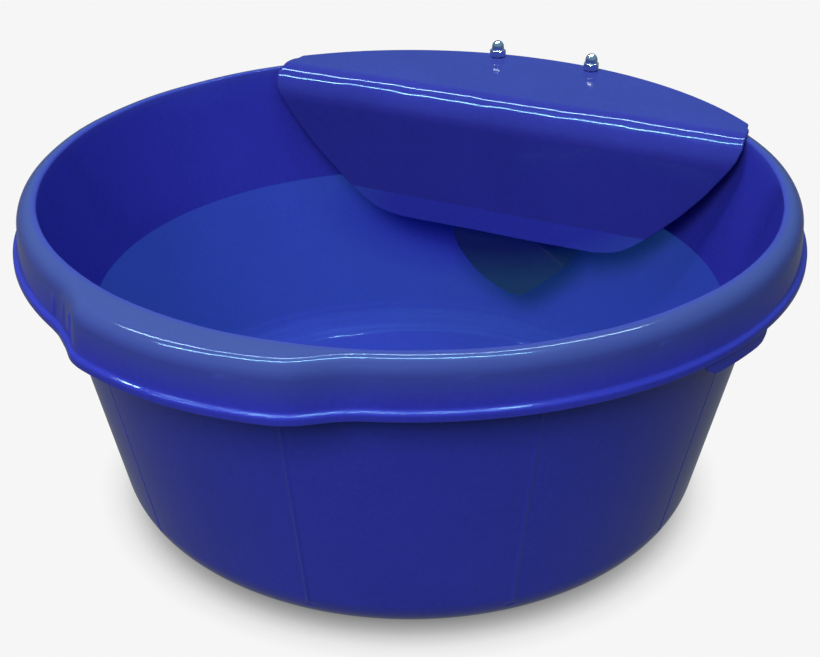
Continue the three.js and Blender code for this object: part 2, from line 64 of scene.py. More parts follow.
# --------------------------------------------------------------------- meshing
def make_object(name, verts, faces, body="root", smooth=True, angle=None):
    me = bpy.data.meshes.new(name)
    me.from_pydata([tuple(v) for v in (np.asarray(verts, float) * MM)], [], [tuple(f) for f in faces])
    me.validate()
    me.update()
    ob = bpy.data.objects.new(name, me)
    scene.collection.objects.link(ob)
    tidy(ob, angle if angle is not None else 34.0, smooth)
    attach(ob, body)
    return ob


def tidy(ob, angle=34.0, smooth=True, merge=1e-7):
    bm = bmesh.new()
    bm.from_mesh(ob.data)
    bmesh.ops.remove_doubles(bm, verts=bm.verts, dist=merge)
    bmesh.ops.dissolve_degenerate(bm, dist=1e-8, edges=bm.edges)
    bmesh.ops.recalc_face_normals(bm, faces=bm.faces)
    lim = math.radians(angle)
    for f in bm.faces:
        f.smooth = smooth
    for e in bm.edges:
        e.smooth = not (len(e.link_faces) == 2 and e.calc_face_angle(0) > lim)
    bm.to_mesh(ob.data)
    bm.free()
    ob.data.update()


def grid_faces(nu, nv, close_u=False, close_v=False, base=0):
    i = np.arange(nu if close_u else nu - 1)
    j = np.arange(nv if close_v else nv - 1)
    I, J = np.meshgrid(i, j, indexing="ij")
    a = I * nv + J
    b = ((I + 1) % nu) * nv + J
    c = ((I + 1) % nu) * nv + (J + 1) % nv
    d = I * nv + (J + 1) % nv
    return (np.stack([a, b, c, d], -1).reshape(-1, 4) + base).tolist()


def rounded(points):
    """[(a, b, radius, tag...)] -> polyline with round corners, and each point's tags blended."""
    out = []
    n = len(points)
    for k, p in enumerate(points):
        q = np.array(p[:2], float)
        tag = np.array(p[3:], float)
        rad = p[2]
        if rad <= 0 or k in (0, n - 1):
            out.append(np.concatenate([q, tag]))
            continue
        a, c = np.array(points[k - 1][:2], float), np.array(points[k + 1][:2], float)
        u, w = (a - q), (c - q)
        lu, lw = np.linalg.norm(u), np.linalg.norm(w)
        u, w = u / lu, w / lw
        ang = math.acos(max(-1, min(1, float(u @ w))))
        if ang > math.pi - 0.02:
            out.append(np.concatenate([q, tag]))
            continue
        share = 0.49 if rad < 11 else 0.84 if rad < 20 else 0.95
        L = min(rad / math.tan(ang / 2), lu * share, lw * share)
        r = L * math.tan(ang / 2)
        bis = (u + w) / np.linalg.norm(u + w)
        ctr = q + bis * (r / math.sin(ang / 2))
        p1, p2 = q + u * L, q + w * L
        a1 = math.atan2(*(p1 - ctr)[::-1]); a2 = math.atan2(*(p2 - ctr)[::-1])
        d = (a2 - a1 + math.pi) % (2 * math.pi) - math.pi
        m = max(4, int(abs(d) * max(r, 1.0) / (1.1 if r > 20 else 0.45)))
        m = min(m, 46)
        for i in range(m + 1):
            t = a1 + d * i / m
            out.append(np.concatenate([ctr + r * np.array([math.cos(t), math.sin(t)]), tag]))
    return np.array(out)


def densify(poly, step):
    out = [poly[0]]
    for a, b in zip(poly[:-1], poly[1:]):
        n = max(1, int(math.ceil(np.linalg.norm((b - a)[:2]) / step)))
        for i in range(1, n + 1):
            out.append(a + (b - a) * i / n)
    return np.array(out)


def lathe(name, prof, seg=96, axis="z", at=(0, 0, 0), body="root", closed=False, angle=None, rfun=None):
    """prof: (radius, height) list. On the axis at both ends, or closed on itself. rfun(r, h, theta) can shape it."""
    prof = np.asarray(prof, float)
    th = np.linspace(0, 2 * np.pi, seg, endpoint=False)
    TH, R = np.meshgrid(th, prof[:, 0], indexing="ij")
    Hh = np.broadcast_to(prof[:, 1], R.shape).copy()
    if rfun is not None:
        R, Hh = rfun(R, Hh, TH)
    X, Y = R * np.cos(TH), R * np.sin(TH)
    if axis == "z": V = np.stack([X, Y, Hh], -1)
    elif axis == "y": V = np.stack([X, Hh, -Y], -1)
    else: V = np.stack([Hh, X, Y], -1)
    V = V.reshape(-1, 3) + np.array(at, float)
    F = grid_faces(seg, len(prof), close_u=True, close_v=closed)
    return make_object(name, V, F, body, angle=angle)


def boolean(ob, cutter, op="DIFFERENCE", solver="MANIFOLD", angle=34.0):
    m = ob.modifiers.new("b", "BOOLEAN")
    m.operation, m.object, m.solver = op, cutter, solver
    dg = bpy.context.evaluated_depsgraph_get()
    me = bpy.data.meshes.new_from_object(ob.evaluated_get(dg))
    ob.modifiers.clear()
    old = ob.data
    name = old.name
    ob.data = me
    bpy.data.meshes.remove(old)
    me.name = name
    bpy.data.objects.remove(cutter)
    tidy(ob, angle)
    return ob


def temp(ob):
    return ob


# ------------------------------------------------------------------- materials
def new_mat(name):
    m = bpy.data.materials.new(name)
    m.use_nodes = True
    nt = m.node_tree
    nt.nodes.clear()
    out = nt.nodes.new("ShaderNodeOutputMaterial")
    bs = nt.nodes.new("ShaderNodeBsdfPrincipled")
    nt.links.new(bs.outputs[0], out.inputs[0])
    tc = nt.nodes.new("ShaderNodeTexCoord")
    return m, nt, bs, tc


def noise(nt, vec, scale, detail=3.0, rough=0.55, dist=0.0, stretch=None):
    if stretch is not None:
        mp = nt.nodes.new("ShaderNodeMapping")
        mp.inputs["Scale"].default_value = stretch
        nt.links.new(vec, mp.inputs[0])
        vec = mp.outputs[0]
    n = nt.nodes.new("ShaderNodeTexNoise")
    n.inputs["Scale"].default_value = scale
    n.inputs["Detail"].default_value = detail
    n.inputs["Roughness"].default_value = rough
    n.inputs["Distortion"].default_value = dist
    nt.links.new(vec, n.inputs["Vector"])
    return n.outputs["Fac"]


def ramp(nt, fac, stops):
    r = nt.nodes.new("ShaderNodeValToRGB")
    cr = r.color_ramp
    while len(cr.elements) < len(stops):
        cr.elements.new(0.5)
    for e, (p, c) in zip(cr.elements, stops):
        e.position = p
        e.color = (*c, 1) if len(c) == 3 else c
    nt.links.new(fac, r.inputs[0])
    return r.outputs[0]


def maprange(nt, fac, a, b, c, d):
    m = nt.nodes.new("ShaderNodeMapRange")
    m.inputs[1].default_value, m.inputs[2].default_value = a, b
    m.inputs[3].default_value, m.inputs[4].default_value = c, d
    nt.links.new(fac, m.inputs[0])
    return m.outputs[0]


def math_node(nt, op, a, b=None):
    m = nt.nodes.new("ShaderNodeMath")
    m.operation = op
    for k, v in enumerate((a, b)):
        if v is None: continue
        if isinstance(v, (int, float)): m.inputs[k].default_value = v
        else: nt.links.new(v, m.inputs[k])
    return m.outputs[0]


def mix_col(nt, fac, a, b, mode="MIX"):
    m = nt.nodes.new("ShaderNodeMix")
    m.data_type, m.blend_type = "RGBA", mode
    for k, v in ((0, fac), (6, a), (7, b)):
        if isinstance(v, (int, float)): m.inputs[k].default_value = v
        elif isinstance(v, tuple): m.inputs[k].default_value = (*v, 1)
        else: nt.links.new(v, m.inputs[k])
    return m.outputs[2]


def bump(nt, bs, height, strength, dist, prev=None):
    b = nt.nodes.new("ShaderNodeBump")
    b.inputs["Strength"].default_value = strength
    b.inputs["Distance"].default_value = dist
    nt.links.new(height, b.inputs["Height"])
    if prev is not None: nt.links.new(prev, b.inputs["Normal"])
    nt.links.new(b.outputs[0], bs.inputs["Normal"])
    return b.outputs[0]


def blue_plastic(name, base, dark, rough, flow=True, peel=0.02, tint=(0.32, 0.74, 1.0), spec=0.42, painted_sheen=None):
    m, nt, bs, tc = new_mat(name)
    obj = tc.outputs["Object"]
    # slow cloudy variation of the pigment, and fine speckle
    big = noise(nt, obj, 7.0, 4.0, 0.5, 0.3)
    fine = noise(nt, obj, 260.0, 2.0, 0.6)
    col = ramp(nt, big, [(0.32, dark), (0.68, base)])
    speck = maprange(nt, fine, 0.3, 0.7, 0.93, 1.06)
    hsv = nt.nodes.new("ShaderNodeHueSaturation")
    nt.links.new(speck, hsv.inputs["Value"])
    nt.links.new(col, hsv.inputs["Color"])
    # painted_sheen, when given, paints the top of the lip paler, as a sheen from above
    if painted_sheen is None:
        nt.links.new(hsv.outputs[0], bs.inputs["Base Color"])
    else:
        # painted sheen: the top of the lip is painted a paler, greener blue that stands for the sheen of the light from
        # above, mottled by the slow pigment noise
        sx = nt.nodes.new("ShaderNodeSeparateXYZ")
        nt.links.new(obj, sx.inputs[0])
        rad = math_node(nt, "SQRT", math_node(nt, "ADD", math_node(nt, "MULTIPLY", sx.outputs[0], sx.outputs[0]), math_node(nt, "MULTIPLY", sx.outputs[1], sx.outputs[1])))
        high = maprange(nt, sx.outputs[2], (T - 30.0) * MM, (T - 3.0) * MM, 0.0, 1.0)
        outer = maprange(nt, rad, 0.283, 0.291, 0.0, 1.0)
        sheen_mottle = maprange(nt, big, 0.25, 0.75, 0.85, 1.0)
        k = math_node(nt, "MULTIPLY", math_node(nt, "MULTIPLY", high, outer), sheen_mottle)
        mx = nt.nodes.new("ShaderNodeMix")
        mx.data_type = "RGBA"
        mx.inputs[7].default_value = (*painted_sheen, 1)
        nt.links.new(k, mx.inputs[0])
        nt.links.new(hsv.outputs[0], mx.inputs[6])
        nt.links.new(mx.outputs[2], bs.inputs["Base Color"])
    # handling scuffs change the gloss
    scuff = noise(nt, obj, 34.0, 5.0, 0.65, 0.6)
    r = maprange(nt, scuff, 0.35, 0.75, rough * 0.85, rough * 1.35)
    nt.links.new(r, bs.inputs["Roughness"])
    bs.inputs["IOR"].default_value = 1.49
    bs.inputs["Specular IOR Level"].default_value = spec
    bs.inputs["Specular Tint"].default_value = (*tint, 1)
    n = bump(nt, bs, noise(nt, obj, 420.0, 2.0, 0.5), peel, 0.0004)
    n = bump(nt, bs, noise(nt, obj, 22.0, 2.0, 0.5), 0.02, 0.001, n)
    if flow:
        # wavy flow lines from moulding, running up the wall
        fl = noise(nt, obj, 9.0, 4.0, 0.6, 1.6, stretch=(3.2, 3.2, 0.8))
        w = math_node(nt, "MULTIPLY", fl, 26.0)
        s = math_node(nt, "SINE", w)
        n = bump(nt, bs, s, 0.02, 0.0008, n)
    return m


MAT = {}
# the tub's painted_sheen colour is a painted sheen on the top of the lip
MAT["tub"] = blue_plastic("tub_plastic", (0.023, 0.026, 0.290), (0.020, 0.022, 0.260), 0.075, painted_sheen=(0.034, 0.050, 0.168))
MAT["guard"] = blue_plastic("guard_plastic", (0.020, 0.022, 0.196), (0.017, 0.019, 0.174), 0.08, flow=False)


def metal(name, col, rough, brushed=0.0):
    m, nt, bs, tc = new_mat(name)
    obj = tc.outputs["Object"]
    n1 = noise(nt, obj, 90.0, 3.0, 0.6)
    c = ramp(nt, n1, [(0.3, tuple(x * 0.86 for x in col)), (0.7, col)])
    nt.links.new(c, bs.inputs["Base Color"])
    bs.inputs["Metallic"].default_value = 1.0
    r = maprange(nt, noise(nt, obj, 300.0, 4.0, 0.7), 0.3, 0.75, rough * 0.7, rough * 1.6)
    nt.links.new(r, bs.inputs["Roughness"])
    h = noise(nt, obj, 900.0, 2.0, 0.5, 0, stretch=(1, 1, 0.05) if brushed else None)
    bump(nt, bs, h, 0.06 + brushed, 0.0001)
    return m


def plain(name, col, rough, spec=0.5, grain=0.12, scale=700.0, coat=0.0):
    m, nt, bs, tc = new_mat(name)
    obj = tc.outputs["Object"]
    c = ramp(nt, noise(nt, obj, 40.0, 4.0, 0.6), [(0.3, tuple(x * 0.8 for x in col)), (0.7, tuple(min(1, x * 1.12) for x in col))])
    nt.links.new(c, bs.inputs["Base Color"])
    r = maprange(nt, noise(nt, obj, 60.0, 4.0, 0.6), 0.3, 0.7, rough * 0.85, min(1, rough * 1.2))
    nt.links.new(r, bs.inputs["Roughness"])
    bs.inputs["Specular IOR Level"].default_value = spec
    bs.inputs["Coat Weight"].default_value = coat
    n = bump(nt, bs, noise(nt, obj, scale, 3.0, 0.6), grain, 0.0003)
    return m


MAT["steel"] = metal("polished_steel", (0.80, 0.82, 0.86), 0.10)
MAT["zinc"] = metal("zinc_steel", (0.60, 0.62, 0.65), 0.30, 0.15)
MAT["brass"] = metal("valve_brass", (0.72, 0.52, 0.22), 0.22)
MAT["nylon"] = plain("valve_nylon", (0.022, 0.023, 0.026), 0.42, 0.45, 0.16, 900)
MAT["float"] = plain("float_plastic", (0.004, 0.005, 0.010), 0.38, 0.45, 0.14, 620)
MAT["white"] = plain("white_acetal", (0.72, 0.73, 0.71), 0.35, 0.5, 0.05, 900)
MAT["rubber"] = plain("seal_rubber", (0.018, 0.018, 0.018), 0.78, 0.3, 0.35, 1100)


def finish_piece(ob, mat, node=None):
    ob.data.materials.clear()
    ob.data.materials.append(MAT[mat])
    if node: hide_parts(node)
    return ob


# ------------------------------------------------------------------------- tub
# swell of a grip at angles from its middle: a slight bow that drops in an S at each end
_gx = np.arange(-40, 40.01, 0.1)
_gy = np.interp(_gx, (-24.2, -21.6, -17.9, -15.0, -12.8, -10.0, -5.3, 0, 5.7, 11.7, 14.8, 16.9, 18.5, 21.2, 23.6),
                (0, 0.05, 0.36, 0.75, 0.86, 0.89, 0.96, 1.0, 0.95, 0.87, 0.80, 0.63, 0.41, 0.11, 0))
_k = np.exp(-0.5 * (np.arange(-2.4, 2.41, 0.1) / 0.75) ** 2)
_gy = np.convolve(_gy, _k / _k.sum(), mode="same")


def grip_weight(deg):
    w = np.zeros_like(deg)
    for c in (GRIP_DEG, GRIP_DEG + 180):
        d = (deg - c + 540) % 360 - 180
        w = np.maximum(w, np.interp(d, _gx, _gy))
    return w


def tub_azimuths():
    a = list(np.arange(-180, 180, 1.0))
    def add(c, half, step):
        a.extend(np.arange(c - half, c + half + 1e-6, step))
    for k in range(10):
        add(RIB0 + RIB_STEP * k, 1.3, 0.1)
        add(RIB0 + RIB_STEP * k - 7.4, 0.9, 0.15)
    for c in (GRIP_DEG, GRIP_DEG + 180):
        add(c + 18, 5.5, 0.35)
        add(c - 18, 4.5, 0.3)
        add(c - 22.4, 4.6, 0.22)
    for c in TAB_DEG: add(c, 4.5, 0.4)
    a = (np.array(a) + 180) % 360 - 180
    a = np.unique(np.round(a, 3))
    keep = [a[0]]
    for x in a[1:]:
        if x - keep[-1] > 0.085: keep.append(x)
    return np.array(keep)


def build_tub():
    # (radius, height, corner radius, follows the grip, hangs with a tab)
    key = [
        (0, 2.6, 0, 0, 0), (148, 2.6, 1.6, 0, 0), (152.5, 0.0, 1.2, 0, 0),
        (wall_out(0), 0.0, 42.0, 0, 0), (wall_out(T - 4.6), T - 4.6, 2.2, 0, 0),
        (296.0, T - 5.4, 3.0, 1, 0), (299.9, T - 34.5, 0.6, 1, 0), (301.5, T - 40.9, 0.7, 1, 0),
        (302.1, T - 40.9, 0, 1, 0), (302.1, T - 40.95, 0, 1, 0.96), (302.6, T - 40.98, 0, 1, 1),
        (304.0, T - 40.98, 0, 1, 1), (304.5, T - 40.95, 0, 1, 0.96), (304.5, T - 40.9, 0, 1, 0),
        (306.1, T - 40.9, 1.5, 1, 0), (306.1, T - 35.3, 2.2, 1, 0), (302.6, T - 34.0, 2.2, 1, 0),
        (299.7, T + 0.0, 13.0, 1, 0), (285.2, T - 0.25, 2.2, 0, 0), (wall_in(3.8), 3.8, 48.0, 0, 0),
        (157.0, 3.8, 1.8, 0, 0), (152.0, 6.3, 1.4, 0, 0), (0, 6.3, 0, 0, 0)]
    prof = densify(rounded(key), 5.0)
    r0, z0, follow, tabw = prof.T
    az = tub_azimuths()
    A, R = np.meshgrid(az, r0, indexing="ij")
    Z = np.broadcast_to(z0, R.shape).copy()
    FOL = np.broadcast_to(follow, R.shape)
    n = len(prof)
    idx = np.arange(n)
    i_top = int(np.argmax(z0))
    outer = (idx < i_top)
    is_wall = outer & (z0 > 4) & (z0 < T - 25) & (np.abs(r0 - wall_out(z0)) < 16) & (r0 < 291)
    i_lip = int(np.argmax(r0))
    is_skirt = (idx > i_lip + 2) & (idx <= i_top + 2) & (r0 > 298)
    is_in = (idx > i_top) & (r0 > 150)
    gw = grip_weight(A)
    R = R + GRIP_OUT * FOL * gw
    # the tabs that hang from the lip, with round ends
    tw = np.zeros_like(A)
    for c in TAB_DEG:
        d = np.abs((A - c + 180) % 360 - 180)
        tw = np.maximum(tw, np.sqrt(np.clip(1 - np.clip((d - 4.6) / 2.4, 0, 1) ** 2, 0, 1)))
    Z = Z - 10.5 * np.broadcast_to(tabw, R.shape) * tw
    # strengthening ribs: proud of the wall at the foot, lower towards the rim
    for k in range(10):
        if k == 5: continue
        d = (A - (RIB0 + RIB_STEP * k) + 180) % 360 - 180
        w = d * D2R * 260.0
        prof_w = np.exp(-(np.abs(w) / 1.3) ** 2.6)
        zz = (Z - 27.0) / (T - 60.0)
        hgt = RIB_H[k] * np.clip(1.0 - 0.55 * zz, 0.1, 1) * smooth01((Z - 25.0) / 2.4) * (1 - smooth01((Z - (T - 38)) / 12))
        R = R + np.where(is_wall[None, :], prof_w * hgt, 0)
        # small sunk mark at the rib's foot
        mark = np.exp(-(w / 4.2) ** 4) * np.exp(-((Z - 23.6) / 1.2) ** 2)
        R = R - np.where(is_wall[None, :], 0.8 * mark, 0)
        # short faint line beside it, just under the rim
        d2 = (A - (RIB0 + RIB_STEP * k - 7.4) + 180) % 360 - 180
        w2 = d2 * D2R * 270.0
        R = R + np.where(is_wall[None, :], 0.28 * np.exp(-(w2 / 1.3) ** 2) * smooth01((Z - (T - 92)) / 40), 0)
    # two short buttresses on the skirt beside each grip's tight end
    for c in (GRIP_DEG, GRIP_DEG + 180):
        for off, wid, hi, lo in ((-24.3, 2.6, T - 15, T - 30), (-20.6, 3.0, T - 9, T - 31)):
            d = (A - (c + off) + 180) % 360 - 180
            w = d * D2R * 303.0
            hh = 1.3 * np.exp(-(np.abs(w) / wid) ** 2.4) * (1 - smooth01((Z - (hi - 6)) / 6)) * smooth01((Z - lo + 3) / 4)
            R = R + np.where(is_skirt[None, :], np.minimum(hh, np.maximum(306.1 + GRIP_OUT * gw - R, 0)), 0)
    # shallow rings where the wall turns into the floor
    for zc, h in ((45.0, 0.5), (33.5, 0.35), (24.0, 0.4), (15.5, 0.3)):
        g = h * np.exp(-((Z - zc) / 1.3) ** 2)
        sel = is_in & (z0 > 9) & (z0 < 60)
        R = R - np.where(sel[None, :], g * 0.8, 0)
        Z = Z + np.where(sel[None, :], g * 0.6, 0)
    # the moulding isn't perfectly true
    wav = 0.30 * np.sin(3 * A * D2R + 0.6) + 0.20 * np.sin(5 * A * D2R + 2.1)
    amp = np.clip((Z - 40) / 120, 0, 1) * np.clip((T - 20 - Z) / 60, 0, 1)
    R = R + np.where((is_wall | (is_in & (z0 > 60)))[None, :], wav * amp, 0)
    # slow dips in the crown of the rim
    crown = (np.abs(idx - i_top) < 60) & (z0 > T - 12)
    Z = Z - np.where(crown[None, :], 0.22 * (1 + np.sin(7 * A * D2R + 1.0)) + 0.12 * (1 + np.sin(19 * A * D2R)), 0)
    X, Y = R * np.cos(A * D2R), R * np.sin(A * D2R)
    V = np.stack([X, Y, Z], -1).reshape(-1, 3)
    F = grid_faces(len(az), n, close_u=True)
    return make_object("tub_shell", V, F, "root", angle=40)


def solid_cyl(name, r, a, b, axis, at, seg=48):
    return lathe(name, [(0, a), (r, a), (r, b), (0, b)], seg, axis, at)




tub = build_tub()
tub = boolean(tub, lathe("cut", [(0, 250), (10.9, 250), (10.9, 292), (0, 292)], 64, "y", (VX, 0, VZ)), angle=40)
for sgn in (-1, 1):
    a = sgn * BOLT_DEG * D2R
    tub = boolean(tub, lathe("cut", [(0, T - 12), (4.5, T - 12), (4.5, T + 5), (0, T + 5)], 48, "z",
                             (BOLT_PCR * math.sin(a), BOLT_PCR * math.cos(a), 0)), angle=40)
finish_piece(tub, "tub", "tub")


# ----------------------------------------------------------------- splash guard
GZ = T + 0.3
HALF = [(0, 219), (-6, 218.6), (-15, 215.6), (-22, 211.5), (-30, 206), (-51, 191), (-72, 173), (-96, 149), (-111, 131), (-118, 120),
        (-122, 108), (-124.0, 94)]
BEND_Y, BEND_R, LEAN = 166.0, 26.0, 5 * D2R
CY, CZ = BEND_Y + BEND_R, GZ + SHEET - BEND_R
MID_R = BEND_R - SHEET / 2
S_FLAT, S_BEND = 299.8 - CY, MID_R * (90 * D2R + LEAN)
BEND_END = (CY - MID_R * math.cos(LEAN), CZ - MID_R * math.sin(LEAN))


def section(s):
    """arc length from the back edge -> (y, z, normal y, normal z) of the sheet's middle."""
    s = np.asarray(s, float)
    a = np.clip((s - S_FLAT) / MID_R, 0, 90 * D2R + LEAN)
    over = np.clip(s - S_FLAT - S_BEND, 0, None)
    flat = np.clip(s, None, S_FLAT)
    y = 299.8 - flat - MID_R * np.sin(a) + over * math.sin(LEAN) * 1.0
    z = CZ + MID_R * np.cos(a) - over * math.cos(LEAN)
    y = np.where(s > S_FLAT + S_BEND, BEND_END[0] + over * math.sin(LEAN), y)
    z = np.where(s > S_FLAT + S_BEND, BEND_END[1] - over * math.cos(LEAN), z)
    return y, z, -np.sin(a), np.cos(a)


def s_of_z(zrel):
    z = T + zrel
    if z < BEND_END[1]:
        return S_FLAT + S_BEND + (BEND_END[1] - z) / math.cos(LEAN)
    a = math.acos(max(-1, min(1, (z - CZ) / MID_R)))
    return S_FLAT + a * MID_R


def smooth_line(points, rad, step):
    return densify(rounded([(p[0], p[1], (rad if 0 < i < len(points) - 1 else 0)) for i, p in enumerate(points)]), step)


def guard_outline(inset):
    """right-hand edge from the middle of the back to the middle of the lower edge, as (x, s)"""
    pts = []
    arc = [(299.8 * math.sin(t), 299.8 * math.cos(t)) for t in np.linspace(0, 45.2 * D2R, 60)]
    for x, y in arc: pts.append((x, 299.8 - y))
    corner = [(213.4, 299.8 - 203.2), (215.2, 299.8 - 201.0), (216.4, 299.8 - 198.0), (217.1, 299.8 - 194), (217.4, 299.8 - 189),
              (217.5, 299.8 - 184), (217.8, 299.8 - 178), (218.2, S_FLAT + 18)]
    pts += corner
    for zr, h in HALF[1:]:
        pts.append((h, s_of_z(zr)))
    pts.append((0, pts[-1][1]))
    P = np.array(pts)
    P = smooth_line(P.tolist(), 5.0, 2.2)
    d = np.gradient(P[:, :2], axis=0)
    nrm = np.stack([d[:, 1], -d[:, 0]], -1)
    nrm /= np.linalg.norm(nrm, axis=1)[:, None]
    # outward: away from the middle of the sheet
    c = np.array([0, S_FLAT + 20])
    sign = np.sign(((P[:, :2] - c) * nrm).sum(1))
    nrm *= sign[:, None]
    nrm[0] = (0, -1); nrm[-1] = (0, 1)
    Q = P[:, :2] - nrm * inset
    Q[:, 0] = np.maximum(Q[:, 0], 0)
    Q[0, 0] = Q[-1, 0] = 0
    return Q, nrm


def build_guard():
    er = 1.25                                   # edge rounding
    Q, nrm = guard_outline(er)
    # rows: one per outline point, kept in order of s
    s = np.maximum.accumulate(Q[:, 1])
    keep = np.concatenate([[True], np.diff(s) > 0.12])
    keep[-1] = True
    xs, ss = Q[keep, 0], s[keep]
    # finer rows through the bend
    rows_s = [ss[0]]; rows_x = [xs[0]]
    for k in range(1, len(ss)):
        gap = ss[k] - ss[k - 1]
        fine = 0.9 if S_FLAT - 6 < ss[k] < S_FLAT + S_BEND + 6 else 2.4
        m = max(1, int(math.ceil(gap / fine)))
        for i in range(1, m + 1):
            rows_s.append(ss[k - 1] + gap * i / m)
            rows_x.append(xs[k - 1] + (xs[k] - xs[k - 1]) * i / m)
    rows_s, rows_x = np.array(rows_s), np.array(rows_x)
    # last row: the lower edge carries its full width
    wide = rows_x.copy()
    if wide[-1] < 1:
        wide[-1] = wide[-2]
    NX = 181
    u = np.sin(np.linspace(-1, 1, NX) * 80 * D2R) / math.sin(80 * D2R)
    X = wide[:, None] * u[None, :]
    S = np.broadcast_to(rows_s[:, None], X.shape)
    m, n = X.shape
    # ring of edge points in order round the sheet
    ring = [(0, j) for j in range(n)][:1]
    right = [(i, n - 1) for i in range(1, m)]
    bottom = [(m - 1, j) for j in range(n - 2, -1, -1)]
    left = [(i, 0) for i in range(m - 2, 0, -1)]
    ring = [(0, n // 2)] + right + bottom + left
    RX = np.array([X[i, j] for i, j in ring]); RS = np.array([S[i, j] for i, j in ring])
    nxt, prv = np.roll(np.arange(len(ring)), -1), np.roll(np.arange(len(ring)), 1)
    tx, ts = RX[nxt] - RX[prv], RS[nxt] - RS[prv]
    L = np.hypot(tx, ts); L[L == 0] = 1
    ox, os_ = ts / L, -tx / L
    flip = np.sign(ox * RX + os_ * (RS - (S_FLAT + 20)))
    ox, os_ = ox * flip, os_ * flip

    def wave(x, sv):
        """slow unevenness of the bent sheet"""
        f = smooth01((sv - S_FLAT + 10) / 40)
        w = 0.45 * np.sin(x / 41.0 + 0.8) + 0.30 * np.sin(x / 19.0 + sv / 60.0 + 2.0) + 0.35 * np.sin(x / 88.0 + sv / 26.0)
        g = smooth01((sv - 20) / 60)
        b = np.exp(-((sv - S_FLAT - 16) / 22) ** 2)
        v = np.sin(x / 27.0 + 0.4) + 0.7 * np.sin(x / 11.5 + 1.1) + 0.35 * np.sin(x / 5.7 + 2.3)
        return 0.75 * f * w + 0.10 * g * np.sin(x / 33.0 + 1.0) * np.sin(sv / 21.0) + 0.22 * b * v * np.sin((sv - S_FLAT - 4) / 8.5)

    def place(x, sv, off):
        y, z, ny, nz = section(sv)
        d = off + wave(x, sv)
        d = np.where(sv < S_FLAT + 4, np.minimum(d, SHEET / 2), d)
        return np.stack([x, y + ny * d, z + nz * d], -1)

    h = SHEET / 2
    verts, faces = [], []
    top = place(X, S, h).reshape(-1, 3)
    bot = place(X, S, -h).reshape(-1, 3)
    verts = np.concatenate([top, bot])
    F = grid_faces(m, n)
    faces += F
    faces += [tuple(q + m * n for q in f[::-1]) for f in F]
    rings = []
    steps = []
    for k in range(1, 5):
        t = k / 4 * math.pi / 2
        steps.append((er * math.sin(t), h - er * (1 - math.cos(t))))
    for k in range(3, -1, -1):
        t = k / 4 * math.pi / 2
        steps.append((er * math.sin(t), -(h - er * (1 - math.cos(t)))))
    idx_top = [i * n + j for i, j in ring]
    idx_bot = [i * n + j + m * n for i, j in ring]
    prev = idx_top
    base = len(verts)
    allv = [verts]
    for out, off in steps[:-1]:
        P = place(RX + ox * out, RS + os_ * out, np.full(len(ring), off))
        allv.append(P)
        cur = list(range(base, base + len(ring)))
        base += len(ring)
        for a in range(len(ring)):
            b = (a + 1) % len(ring)
            faces.append((prev[a], prev[b], cur[b], cur[a]))
        prev = cur
    for a in range(len(ring)):
        b = (a + 1) % len(ring)
        faces.append((prev[a], prev[b], idx_bot[b], idx_bot[a]))
    V = np.concatenate(allv)
    return make_object("splash_guard", V, faces, "root", angle=50)


guard = build_guard()
for sgn in (-1, 1):
    a = sgn * BOLT_DEG * D2R
    guard = boolean(guard, lathe("cut", [(0, T - 5), (4.5, T - 5), (4.5, T + 12), (0, T + 12)], 48, "z",
                                 (BOLT_PCR * math.sin(a), BOLT_PCR * math.cos(a), 0)), solver="EXACT", angle=50)
finish_piece(guard, "guard", "guard_cover")


# -------------------------------------------------------------- bolts and nuts
def hex_r(theta, af, turn=0.0):
    t = (theta - turn) % (math.pi / 3) - math.pi / 6
    return af / 2 / np.cos(t)


def hex_lathe(name, prof, af, axis, at, turn=0.0, seg=144, rows=0.5, thread=None):
    """turned profile whose radius is also held inside a hexagon: gives the real curved chamfers"""
    P = densify(np.asarray(prof, float), rows)

    def rf(R, H, TH):
        return np.minimum(R, hex_r(TH, af, turn)), H
    return lathe(name, P, seg, axis, at, rfun=rf, angle=28)


def thread_fun(r_out, depth, pitch, h0, h1):
    def rf(R, H, TH):
        ph = (H / pitch + TH / (2 * math.pi)) % 1.0
        tri = np.abs(ph * 2 - 1)
        v = np.clip((tri - 0.12) / 0.76, 0, 1)
        fade = smooth01((H - h0) / pitch) * smooth01((h1 - H) / pitch)
        d = depth * (1 - v) * fade
        return np.where(R > r_out - 0.6, R - d, R), H
    return rf


